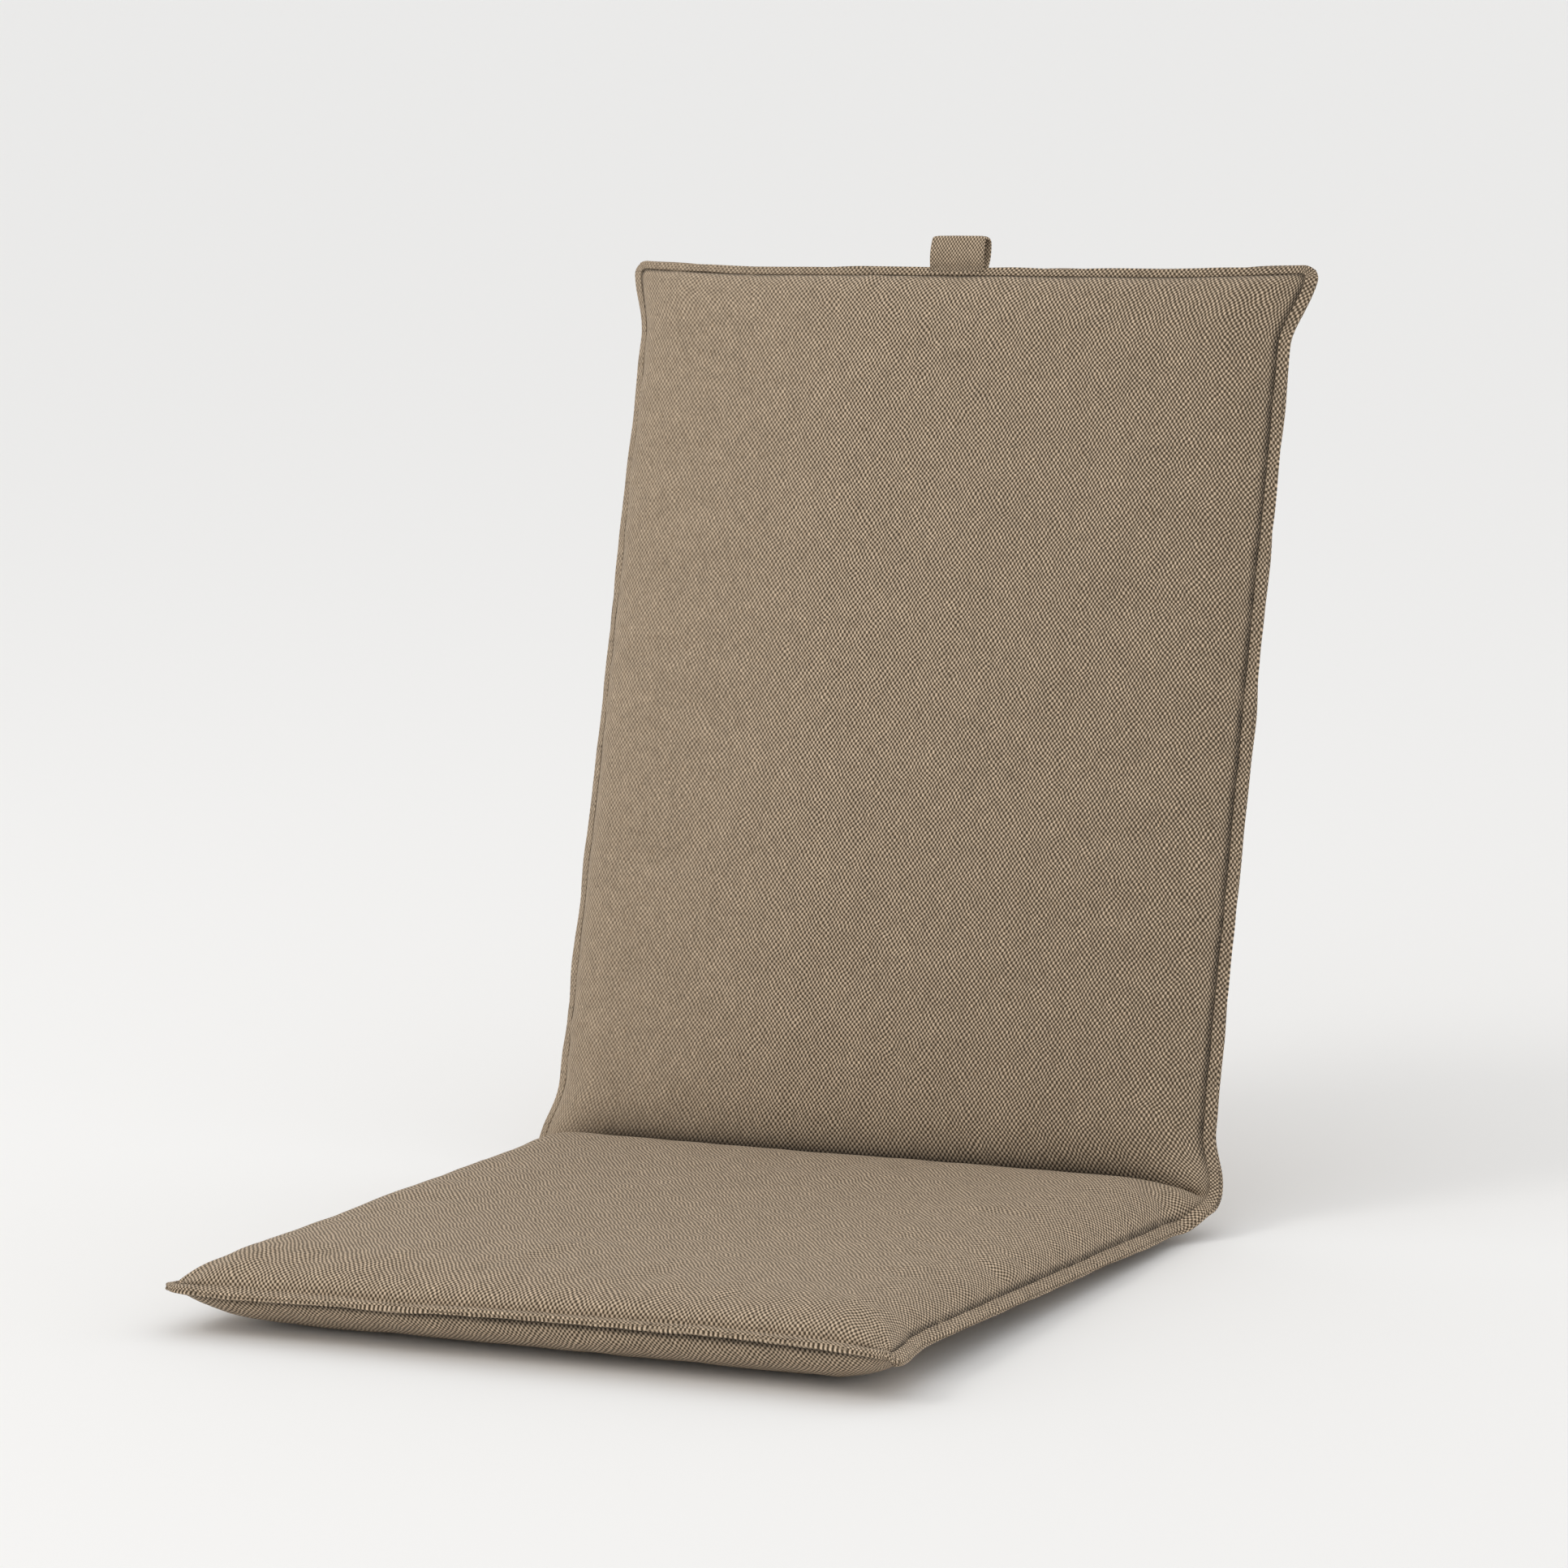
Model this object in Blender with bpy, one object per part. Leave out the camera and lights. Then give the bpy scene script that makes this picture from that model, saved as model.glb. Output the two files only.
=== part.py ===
"""Seat and back cushion: one long padded cloth cover, bent upright at its sewn fold, with a hang loop.

X runs across the cushion, Y from its front edge towards its back, and Z up. The origin is on the
surface that the cushion lies on, under the middle of the seat pad. All sizes are in metres.
"""

import math

import bpy
import bmesh
from mathutils import Matrix, Vector

# Overall sizes of the cover, measured along the cloth
SEAT_LENGTH = 0.4818
BACK_LENGTH = 0.6143
SEAM_WIDTH = 0.4690
RECLINE_DEG = 16.2

# Heights above the surface, of the seam all round the seat and of the seat's top
SEAM_Z_AT_FOLD = 0.0117
SEAM_Z_AT_FRONT = 0.0292
CROWN_Z_AT_FOLD = 0.0432
CROWN_Z_AT_FRONT = 0.0490
BACK_HALF_DEPTH = 0.0210

# The flat self-fabric flange round the edge and the stitched groove inside it
FLANGE_WIDTH = 0.0068
FLANGE_HALF = 0.0022
EDGE_HALF = 0.0009
EDGE_ROUND = 0.0012
GROOVE_HALF = 0.0013
GROOVE_EDGE = 0.0010
FLANGE_LEAN = {"side": 0.0040, "front": 0.0028, "top": 0.0018}

# Ears: how far the corner cloth stands out past the drawn-in edges, how far that spreads, and how
# far it curls back
EARS = {
    "front": {"reach": 0.0089, "spread": 0.060, "curl": 0.0006},
    "fold": {"reach": 0.0124, "spread": 0.0525, "curl": 0.0},
    "top": {"reach": 0.0134, "spread": 0.055, "curl": 0.0054},
}
EAR_DEPTH = 0.045
FOLD_TUCK = {"left": 0.0006, "right": 0.0136}
FOLD_TUCK_SPREAD = 0.040
FOLD_TUCK_DEPTH = 0.060
FRONT_DRAWN_IN = 0.0032
FRONT_DRAWN_SPREAD = 0.090
TOP_DRAWN_IN = 0.0056
TOP_DRAWN_SPREAD = 0.105
END_REACH = 0.150
TIP_RADIUS = 0.012
TOP_RADIUS = 0.0095

# Distances over which the filling rises from the groove to its full depth
SIDE_RISE = 0.0375
EAR_SOFTNESS = 1.2
FRONT_RISE = 0.050
TOP_RISE = 0.036
SEAT_REAR_RISE = 0.110
BACK_FOOT_RISE = 0.050
UNDER_FRONT_RISE = 0.069
UNDER_SIDE_RISE = 0.090
UNDER_TIP_RISE = 0.0565
UNDER_TIP_START = 0.045
UNDER_TIP_END = 0.115
UNDER_REAR_RISE = 0.025
BEHIND_FOOT_RISE = 0.045
ROUNDNESS = 2.2
SIDE_FULLNESS = 1.25

# The fold between the pads
FOLD_RADIUS = 0.010
FOLD_SLACK = 0.97
FOLD_SHOULDER = 0.006

# Rows of points, as distances from an edge and from the fold
EDGE_ROWS = (0.0, 0.0012, 0.0034, 0.0058, 0.0068, 0.0084, 0.0110, 0.0150, 0.0205, 0.0280, 0.0375, 0.0500)
SIDE_ROWS = (0.0680, 0.0900, 0.1180, 0.1500, 0.1900)
FOLD_ROWS = (0.0032, 0.0064, 0.0095, 0.0130, 0.0175, 0.0230, 0.0310, 0.0420, 0.0580, 0.0800, 0.1100)
SEAT_MIDDLE_ROWS = 6
BACK_MIDDLE_ROWS = 7

# The hang loop, a flat strap sewn into the middle of the top seam; its outline and its open eye are
# seen along X, with heights measured from the loop's foot
STRAP_WIDTH = 0.040
STRAP_X = -0.0044
STRAP_OUTLINE = {
    "half_foot": 0.0020, "foot": 0.0, "neck": 0.0020,
    "half_depth": 0.0050, "shoulder": 0.0085, "top": 0.0210, "corner": 0.0030,
}
EYE_OUTLINE = {
    "half_foot": 0.0005, "foot": 0.0034, "neck": 0.0038,
    "half_depth": 0.0032, "shoulder": 0.0090, "top": 0.0192, "corner": 0.0012,
}
CORNER_STEPS = 5
SEAT_GAP = 0.0003

# Colours as linear values, from the beige and taupe melange cloth
CLOTH_COLOUR = (0.305, 0.245, 0.175, 1.0)
STRAP_COLOUR = (0.290, 0.232, 0.165, 1.0)
CLOTH_ROUGHNESS = 0.92

LENGTH = SEAT_LENGTH + BACK_LENGTH
HALF_SEAM = SEAM_WIDTH / 2
BEND = math.radians(90 - RECLINE_DEG)
BEND_START = SEAT_LENGTH - BEND * FOLD_RADIUS / 2
FOLD_SLOPE = FOLD_SLACK * math.tan((math.pi - BEND) / 2)
ORIGIN_Y = -SEAT_LENGTH / 2


def clamp(value):
    return min(max(value, 0.0), 1.0)


def round_rise(distance, reach):
    """Rise steeply from 0 and level off at 1, like cloth over filling."""
    return math.sqrt(1 - (1 - clamp(distance / reach)) ** ROUNDNESS)


def soft_rise(distance, reach):
    """Rise from 0 to 1 with no corner at either end."""
    t = clamp(distance / reach)
    return t * t * (3 - 2 * t)


def fade(distance, spread):
    """Fall from 1 at distance 0 to 0 at the end of the spread."""
    return (1 - clamp(distance / spread)) ** 2


def bell(distance, spread):
    """Fall smoothly from 1 at distance 0 to 0 at the end of the spread."""
    return (1 - clamp(abs(distance) / spread) ** 2) ** 2


def mix(low, high, share):
    return low + (high - low) * share


def rounded_min(first, second, radius):
    """Return the smaller value, with the change from one to the other rounded off."""
    share = clamp(0.5 + 0.5 * (second - first) / radius)
    return mix(second, first, share) - radius * share * (1 - share)


def at_ears(along, size):
    """Add up one size of the ears at a distance along the cloth."""
    places = {"front": 0.0, "fold": SEAT_LENGTH, "top": LENGTH}
    return sum(EARS[ear][size] * bell(along - place, EARS[ear]["spread"]) for ear, place in places.items())


def lean_back(inset, along):
    """How far the flange and the ears stand back from the middle of the seam."""
    edges = {"side": inset, "front": along, "top": LENGTH - along}
    lean = max(FLANGE_LEAN[edge] * clamp(1 - distance / FLANGE_WIDTH) for edge, distance in edges.items())
    return lean + at_ears(along, "curl") * bell(inset, EAR_DEPTH)


def round_corner(inset, from_end, radius):
    """Pull a point near a square corner onto the rounded one."""
    across, along = radius - inset, radius - from_end
    if across <= 0 or along <= 0:
        return inset, from_end
    shrink = max(across, along) / math.hypot(across, along)
    return radius - across * shrink, radius - along * shrink


def flange_half(distance):
    """Half the thickness of the flange, from its rounded rim to the stitched groove."""
    if distance < EDGE_ROUND:
        return mix(EDGE_HALF, FLANGE_HALF, math.sqrt(1 - (1 - distance / EDGE_ROUND) ** 2))
    return mix(FLANGE_HALF, GROOVE_HALF, clamp(1 - (FLANGE_WIDTH - distance) / GROOVE_EDGE))


def front_cloth_height(inset, along, flare, seam_z):
    """Height of the upper or front cloth over the middle of the seam."""
    to_fold = abs(along - SEAT_LENGTH)
    rise = round_rise(inset - FLANGE_WIDTH, SIDE_RISE + EAR_SOFTNESS * flare) ** SIDE_FULLNESS
    if along < SEAT_LENGTH:
        crown = mix(CROWN_Z_AT_FRONT, CROWN_Z_AT_FOLD, along / SEAT_LENGTH) - seam_z
        rise *= round_rise(along - FLANGE_WIDTH, FRONT_RISE) * round_rise(to_fold, SEAT_REAR_RISE)
    else:
        crown = BACK_HALF_DEPTH
        rise *= round_rise(LENGTH - along - FLANGE_WIDTH, TOP_RISE) * round_rise(to_fold, BACK_FOOT_RISE)
    height = mix(GROOVE_HALF, crown, rise)
    return max(GROOVE_HALF, rounded_min(height, GROOVE_HALF + FOLD_SLOPE * to_fold, FOLD_SHOULDER))


def back_cloth_height(inset, along, flare, seam_z):
    """Depth of the cloth under the seat and behind the back, from the middle of the seam."""
    to_fold = abs(along - SEAT_LENGTH)
    from_groove = inset - FLANGE_WIDTH
    if along < SEAT_LENGTH:
        tip_share = 1 - soft_rise(along - UNDER_TIP_START, UNDER_TIP_END - UNDER_TIP_START)
        side_rise = soft_rise(from_groove, UNDER_SIDE_RISE)
        rise = mix(side_rise, round_rise(from_groove, UNDER_TIP_RISE), tip_share)
        rise *= round_rise(along - FLANGE_WIDTH, UNDER_FRONT_RISE) * round_rise(to_fold, UNDER_REAR_RISE)
        return mix(GROOVE_HALF, seam_z, rise)
    rise = round_rise(from_groove, SIDE_RISE + EAR_SOFTNESS * flare)
    rise *= round_rise(LENGTH - along - FLANGE_WIDTH, TOP_RISE) * round_rise(to_fold, BEHIND_FOOT_RISE)
    return mix(GROOVE_HALF, BACK_HALF_DEPTH, rise)


def seam_height(along):
    """Height of the middle of the seam over the surface, before the back's own rise."""
    return mix(SEAM_Z_AT_FOLD, SEAM_Z_AT_FRONT, clamp(1 - along / SEAT_LENGTH))


def bend_up(along):
    """Follow the cushion's middle from the seat round the fold and up the back."""
    turn = min(max((along - BEND_START) / FOLD_RADIUS, 0.0), BEND)
    past = max(along - BEND_START - BEND * FOLD_RADIUS, 0.0)
    y = min(along, BEND_START) - SEAT_LENGTH + FOLD_RADIUS * math.sin(turn) + past * math.cos(BEND)
    z = FOLD_RADIUS * (1 - math.cos(turn)) + past * math.sin(BEND)
    return y, z, turn


def cover_point(side, inset, along, face):
    """Place a point of the cover; face is 1 on the front or upper cloth and -1 on the other."""
    to_edge = min(inset, along, LENGTH - along)
    flare = at_ears(along, "reach")
    seam_z = seam_height(along)
    if to_edge <= FLANGE_WIDTH:
        height = flange_half(to_edge)
    elif face > 0:
        height = front_cloth_height(inset, along, flare, seam_z)
    else:
        height = back_cloth_height(inset, along, flare, seam_z)

    height -= face * lean_back(inset, along)
    half_width = HALF_SEAM + flare
    tuck = FOLD_TUCK["left" if side < 0 else "right"] * bell(inset, FOLD_TUCK_DEPTH)
    tuck *= bell(along - SEAT_LENGTH, FOLD_TUCK_SPREAD)
    if inset > FLANGE_WIDTH:
        inset = mix(FLANGE_WIDTH, half_width, (inset - FLANGE_WIDTH) / (HALF_SEAM - FLANGE_WIDTH))
    from_front, from_top = along, LENGTH - along
    if along < LENGTH / 2:
        inset, from_front = round_corner(inset, from_front, TIP_RADIUS)
        drawn_in = FRONT_DRAWN_IN * (1 - fade(inset, FRONT_DRAWN_SPREAD))
        placed = from_front + drawn_in * clamp(1 - along / END_REACH)
    else:
        inset, from_top = round_corner(inset, from_top, TOP_RADIUS)
        drawn_in = TOP_DRAWN_IN * (1 - fade(inset, TOP_DRAWN_SPREAD))
        placed = LENGTH - from_top - drawn_in * clamp(1 - (LENGTH - along) / END_REACH)

    y, z, turn = bend_up(placed)
    return Vector((
        side * (half_width - inset),
        y - face * height * math.sin(turn) - tuck * math.sin(BEND / 2) - ORIGIN_Y,
        seam_z + z + face * height * math.cos(turn) + tuck * math.cos(BEND / 2),
    ))


def spread_rows(start, end, count):
    """Return rows of points spaced evenly between two rows, without those two."""
    return [mix(start, end, (index + 1) / (count + 1)) for index in range(count)]


def rows_along():
    """Rows of points from the front edge, round the fold, to the top edge."""
    front = list(EDGE_ROWS)
    seat = spread_rows(EDGE_ROWS[-1], SEAT_LENGTH - FOLD_ROWS[-1], SEAT_MIDDLE_ROWS)
    fold = [SEAT_LENGTH - row for row in reversed(FOLD_ROWS)] + [SEAT_LENGTH]
    fold += [SEAT_LENGTH + row for row in FOLD_ROWS]
    back = spread_rows(fold[-1], LENGTH - EDGE_ROWS[-1], BACK_MIDDLE_ROWS)
    top = [LENGTH - row for row in reversed(EDGE_ROWS)]
    return front + seat + fold + back + top


def columns_across():
    """Columns of points from the left edge to the right edge, as a side and an inset."""
    insets = EDGE_ROWS + SIDE_ROWS
    left = [(-1, inset) for inset in insets]
    right = [(1, inset) for inset in reversed(insets)]
    return left + [(1, HALF_SEAM)] + right


def cloth_material(name, colour):
    material = bpy.data.materials.new(name)
    material.use_nodes = True
    shader = material.node_tree.nodes["Principled BSDF"]
    shader.inputs["Base Color"].default_value = colour
    shader.inputs["Roughness"].default_value = CLOTH_ROUGHNESS
    shader.inputs["Metallic"].default_value = 0.0
    return material


def make_cushion(collection):
    """Two layers of cloth from one flat grid, closed round the rim and shaped over the filling."""
    columns, rows = columns_across(), rows_along()
    mesh = bpy.data.meshes.new("cushion")
    shape = bmesh.new()
    bmesh.ops.create_grid(shape, x_segments=len(columns) - 1, y_segments=len(rows) - 1, size=1.0)
    lifted = bmesh.ops.extrude_face_region(shape, geom=shape.faces[:], use_keep_orig=True)
    upper = {item for item in lifted["geom"] if isinstance(item, bmesh.types.BMVert)}
    for vertex in shape.verts:
        column = columns[round((vertex.co.x + 1) / 2 * (len(columns) - 1))]
        row = rows[round((vertex.co.y + 1) / 2 * (len(rows) - 1))]
        vertex.co = cover_point(column[0], column[1], row, 1 if vertex in upper else -1)
    bmesh.ops.recalc_face_normals(shape, faces=shape.faces[:])
    shape.to_mesh(mesh)
    shape.free()
    mesh.shade_smooth()
    cushion = bpy.data.objects.new("cushion", mesh)
    cushion.data.materials.append(cloth_material("cover_cloth", CLOTH_COLOUR))
    collection.objects.link(cushion)
    return cushion


def add_outline(curve, points):
    spline = curve.splines.new("POLY")
    spline.points.add(len(points) - 1)
    for point, (across, up) in zip(spline.points, points):
        point.co = (across, up, 0.0, 1.0)
    spline.use_cyclic_u = True


def loop_outline(sizes):
    """One closed outline of the folded strap, from its foot up one side and down the other."""
    half_foot, half_depth, corner = sizes["half_foot"], sizes["half_depth"], sizes["corner"]
    side = [(half_foot, sizes["foot"]), (half_foot, sizes["neck"]), (half_depth, sizes["shoulder"])]
    for step in range(CORNER_STEPS + 1):
        angle = math.pi / 2 * step / CORNER_STEPS
        across = half_depth - corner * (1 - math.cos(angle))
        up = sizes["top"] - corner * (1 - math.sin(angle))
        side.append((across, up))
    return side + [(-across, up) for across, up in reversed(side)]


def make_hang_loop(collection):
    """A flat strap folded over into an upright loop on the middle of the top seam."""
    curve = bpy.data.curves.new("hang_loop", "CURVE")
    curve.dimensions = "2D"
    curve.fill_mode = "BOTH"
    curve.extrude = STRAP_WIDTH / 2
    for sizes in (STRAP_OUTLINE, EYE_OUTLINE):
        add_outline(curve, loop_outline(sizes))
    loop = bpy.data.objects.new("hang_loop", curve)
    y, z, turn = bend_up(LENGTH - TOP_DRAWN_IN + SEAT_GAP)
    loop.location = (STRAP_X, y - ORIGIN_Y, SEAM_Z_AT_FOLD + z)
    towards_front = Vector((0.0, -math.sin(turn), math.cos(turn)))
    up_the_back = Vector((0.0, math.cos(turn), math.sin(turn)))
    axes = Matrix((towards_front, up_the_back, towards_front.cross(up_the_back))).transposed()
    loop.rotation_euler = axes.to_euler()
    loop.data.materials.append(cloth_material("strap_cloth", STRAP_COLOUR))
    collection.objects.link(loop)
    return loop


def main():
    for existing in list(bpy.data.objects):
        bpy.data.objects.remove(existing, do_unlink=True)
    collection = bpy.data.collections.new("seat_and_back_cushion")
    bpy.context.scene.collection.children.link(collection)
    make_cushion(collection)
    make_hang_loop(collection)


main()
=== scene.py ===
"""Looks of the seat and back cushion: its woven cover over the filling and its hang loop.

All sizes are in metres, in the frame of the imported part: X across the cushion, Y from its front edge
towards its back, Z up, and the origin on the floor under the middle of the seat pad.
"""

import math
from functools import partial, reduce
from types import SimpleNamespace

import bmesh
import bpy
import numpy as np
from mathutils import Matrix, Vector

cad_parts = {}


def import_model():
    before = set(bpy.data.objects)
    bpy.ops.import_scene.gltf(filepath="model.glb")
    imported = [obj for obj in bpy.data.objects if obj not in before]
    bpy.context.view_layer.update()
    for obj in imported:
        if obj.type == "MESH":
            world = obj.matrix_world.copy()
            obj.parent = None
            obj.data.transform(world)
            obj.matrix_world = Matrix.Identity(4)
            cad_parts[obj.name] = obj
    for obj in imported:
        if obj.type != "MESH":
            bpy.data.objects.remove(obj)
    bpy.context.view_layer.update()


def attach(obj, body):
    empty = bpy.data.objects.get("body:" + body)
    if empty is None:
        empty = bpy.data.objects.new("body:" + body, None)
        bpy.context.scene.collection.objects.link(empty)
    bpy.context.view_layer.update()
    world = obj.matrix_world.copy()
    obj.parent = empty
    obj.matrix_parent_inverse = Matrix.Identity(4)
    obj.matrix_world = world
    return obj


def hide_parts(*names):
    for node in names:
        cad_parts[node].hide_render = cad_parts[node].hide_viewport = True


# The cover, measured along the cloth from its front edge
SEAT_LENGTH = 0.4818
COVER_LENGTH = 1.0961
HALF_SEAM = 0.2345
RECLINE_DEG = 16.2
FOLD_RADIUS = 0.010

# Heights of the seam and of the crowned top over the floor, and the depth of the back pad
SEAM_Z = {"fold": 0.0117, "front": 0.0292}
CROWN_Z = {"fold": 0.0432, "front": 0.0490}
BACK_HALF_DEPTH = 0.0210

# The flange: two cloth edges rolled in at the rim seam and stitched down in a groove, leaning back
FLANGE_WIDTH = 0.0068
FLANGE_HALF = 0.0022
FLANGE_LEAN = {"side": 0.0040, "top": 0.0018}
ROLL_RADIUS = 0.00100
ROLL_START_DEG = -68
GROOVE_HALF = 0.0008
GROOVE_SPREAD = 0.0007
FRONT_GROOVE = {"filled": 0.97, "start": 0.006, "spread": 0.028, "wide": 0.016}

# Steps of the cloth's lines: over the flange, in from the groove, and away from the fold
ROLL_POINTS = 7
ROLLED_STEPS = 3
FLANGE_STEPS = (0.0019, 0.0029, 0.0039, 0.0048, 0.0054, 0.0059, 0.0062, FLANGE_WIDTH)
PAD_STEPS = (0.00022, 0.0006, 0.0011, 0.0018, 0.0028, 0.0041, 0.0058, 0.0080, 0.0108, 0.0142, 0.0182, 0.0226)
FOLD_STEPS = (0.0010, 0.0020, 0.0032, 0.0046, 0.0062, 0.0082, 0.0106, 0.0134, 0.0168, 0.0208)

# The front flange's lean from the left tip to the right one, below 0 where the seam bows up instead
FRONT_LEAN = (
    (-0.2345, 0.0), (-0.190, 0.0030), (-0.1225, 0.0012), (-0.0065, -0.0017), (0.1105, -0.0038),
    (0.190, -0.0026), (0.2345, 0.0),
)
FRONT_BOW = {"upper": 0.060, "under": 0.018}
LEFT_TIP = {"spread": 0.030, "shorter": 0.0048}

# Corner ears, how far they curl back, and the drawn-in edges between them
EARS = {
    "front": {"at": 0.0, "reach": 0.0089, "spread": 0.060, "curl": 0.0006},
    "fold": {"at": SEAT_LENGTH, "reach": 0.0124, "spread": 0.0525, "curl": 0.0},
    "top": {"at": COVER_LENGTH, "reach": 0.0134, "spread": 0.055, "curl": 0.0054},
}
EAR_DEPTH = 0.045
FOLD_TUCK = {"left": 0.0006, "right": 0.0136, "spread": 0.040, "depth": 0.060}
DRAWN_IN = {
    "front": {"reach": 0.0032, "spread": 0.090, "corner": 0.012},
    "top": {"reach": 0.0056, "spread": 0.105, "corner": 0.0112},
}
END_REACH = 0.150

# Distances over which the filling rises from the groove to its full depth
SIDE_RISE = 0.0375
EAR_SOFTNESS = 1.2
TOP_RISE = 0.036
SEAT_RISE = {"front": 0.050, "rear": 0.073}
BACK_FOOT_RISE = 0.050
UNDER_RISE = {"front": 0.069, "side": 0.090, "tip": 0.0565, "rear": 0.025}
UNDER_TIP = {"start": 0.045, "end": 0.115}
BEHIND_FOOT_RISE = 0.045
ROUNDNESS = 2.2
SIDE_FULLNESS = 1.25
FOLD_SLACK = 0.97
FOLD_SHOULDER = 0.006

# Unevenness of the sewn cloth: size along the seam and how far it moves the cloth
SEAM_WAVER = {"size": 0.021, "reach": 0.00055, "spread": 0.009}
RIM_WAVER = {"size": 0.026, "reach": 0.00045, "spread": 0.010}
WAVER_START = 0.030
FLANGE_LIFT = {"size": 0.034, "reach": 0.00096, "spread": 0.016}
FLANGE_PUFF = {"size": 0.0085, "share": 0.16}
BRIDGES = {"size": 0.0060, "rise": 0.0010, "wide": 0.0012, "often": 1.5, "least": 0.35}
PUCKERS = {"size": 0.0115, "depth": 0.00120, "reach": 0.024, "slant": 0.55}
LONG_PUCKERS = {"size": 0.031, "depth": 0.00090, "reach": 0.050, "slant": -0.35}
PUCKER = {"start": 0.0035, "drift": 0.15, "least": 0.55, "more": 0.75, "apart": 7}
FOLD_GATHERS = {"size": 0.018, "depth": 0.00075, "reach": 0.034, "slant": 0.4,
                "start": 0.006, "side": 0.020}
DIMPLES = {"size": 0.075, "reach": 0.00110, "small": 0.45, "side": 0.045, "seat": 0.100, "back": 0.030}
SWELLING = {"side": 0.030, "start": 0.012, "seat": 0.090, "back": 0.030, "under": 0.4}
CORNER_TUCKS = {"count": 5, "depth": 0.0011, "tip": 0.004, "start": 0.014, "reach": 0.0252}
RESTING_HEIGHT = 0.004
UNEVEN_CELLS = 64

# Shade held in the groove, in the fold's crease and under the front flange
GROOVE_SPREADS = {"flange": 0.0013, "seat": 0.0015, "back": 0.0026}
GROOVE_PALER = {"bridged": 0.45, "fold": 0.75, "reach": 0.060}
CREASE = {"start": 0.0165, "reach": 0.0085, "ends": 0.070}
CREASE_BEHIND = {"share": 0.5, "reach": 0.006}
UNDER_SHADE = {"deep": 0.0010, "reach": 0.0042, "share": 0.58}

# Starting numbers of the unevenness, so that it is the same on every run
SEED = {
    "side seam": 3, "end seam": 7, "lift": 11, "puff": 21, "bridges": 23,
    "front cloth": 100, "back cloth": 140, "loop": 301,
}

# Spacing of the fine cloth and of the coarser cloth that is filled by simulation
CLOTH_SPACING = 0.0046
FILLING_SPACING = 0.0080
FILLING = {"pressure": 4.0, "slack": -0.012, "frames": 20, "full": 0.92, "cap": 0.022, "keep": 0.0017,
           "smoothing": 14}

# The hang loop, a strap folded over and sewn into the top seam; its line is seen along X
STRAP_WIDTH = 0.0392
STRAP_X = -0.0037
STRAP_HALF = 0.00090
STRAP_LINE = (
    (0.00115, -0.0030), (0.0013, 0.0004), (0.0024, 0.0028), (0.0036, 0.0064), (0.0042, 0.0105),
    (0.0043, 0.0160), (0.0044, 0.0186), (0.0032, 0.0199), (0.0000, 0.0202),
)
STRAP_SKEW = 0.0022
STRAP_TOP = {"start": 0.012, "spread": 0.008, "corner": 0.0035, "drop": 0.0011, "narrower": 0.012}
STRAP_HEM = {"inset": 0.0030, "spread": 0.0011, "thinner": 0.28, "shade": 0.25}
STRAP_WAVE = {"size": 0.011, "reach": 0.00035, "start": 0.012}
STRAP_FOOT_SHADE = {"start": 0.0030, "spread": 0.0028, "share": 0.35}
STRAP_STOPS = 76
STRAP_COLUMNS = 25
LOOP_BULGE = {"half": 0.0260, "reach": 0.0012, "sag": 0.0009, "start": 0.020, "spread": 0.010,
              "rim": 0.002, "near": 0.006}

# Cloth colours as linear values, and the pitch of its yarns
LIGHT_YARN = (0.627, 0.488, 0.349, 1.0)
DARK_YARN = (0.072, 0.052, 0.031, 1.0)
WARM_YARN = (0.466, 0.337, 0.222, 1.0)
STRAP_DARK_YARN = (0.100, 0.074, 0.046, 1.0)
YARN_PITCH = (0.00145, 0.00188)
MEASURED_ROW = 0.7
STRAP_YARN_PITCH = (0.00115, 0.00140)
STITCH_LENGTH = 0.0033
FLANGE_ROWS = 6

# On the back, painted light from the left: the weave is painted lighter towards the left and darker towards
# the right, and with less contrast towards the lit left edge
SIDE_LIGHT_PAINT = {"left": -0.085, "right": 0.085, "reach": 0.22}
EDGE_LIGHT_PAINT = {"edge": -0.235, "end": -0.050, "share": 0.62, "even": 0.50}
BACK_WEAVE = (SEAT_LENGTH - 0.03, SEAT_LENGTH + 0.05)

# Finish of the cloth on each piece, with how dark its painted groove and crease shade is and whether the
# painted side light is on
COVER_FINISH_AND_SHADE = {
    "straying": 0.42, "mottle": 0.50, "groove": 0.85, "crease": 0.80,
    "pitch": YARN_PITCH, "dark": DARK_YARN, "openness": 1.0,
}
STRAP_FINISH_AND_SHADE = {
    "straying": 0.30, "mottle": 0.45, "groove": 0.40, "crease": 0.40,
    "pitch": STRAP_YARN_PITCH, "dark": STRAP_DARK_YARN, "openness": 0.0,
}
RIM_WEAR = 0.10
WARM_SHARE = 0.45
YARN_SHADES = (0.72, 1.28)
ROUGHNESS = {"hollows": 0.97, "yarns": 0.86}
FUZZ_HEIGHT = 0.30
BUMP = {"strength": 0.8, "depth": 0.00045}

# How the plain weave strays and rounds, and what the mottle is mixed from
WEAVE = {"scale": 75.0, "stray": 5.0, "under": -0.55, "over": 0.65, "bend": 0.7,
         "top": 0.75, "length": 0.22}
MOTTLE = {"clouds": 0.35, "patches": 0.35, "slubs": 0.30}
STITCHES = {"sunk": 0.30, "raised": 0.8, "tick": 0.22, "tick_raised": 0.7, "rows": 0.15}

# The camera, turned round the cushion from straight in front
CAMERA = {
    "azimuth": 26.049, "elevation": 8.103, "roll": -1.069, "distance": 3.6996,
    "lens": 132.587, "target": (-0.03889, 0.20803, 0.27812),
}
FLOOR_COLOUR = (0.90, 0.895, 0.885, 1.0)
FLOOR_RADIUS = 400.0

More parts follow.
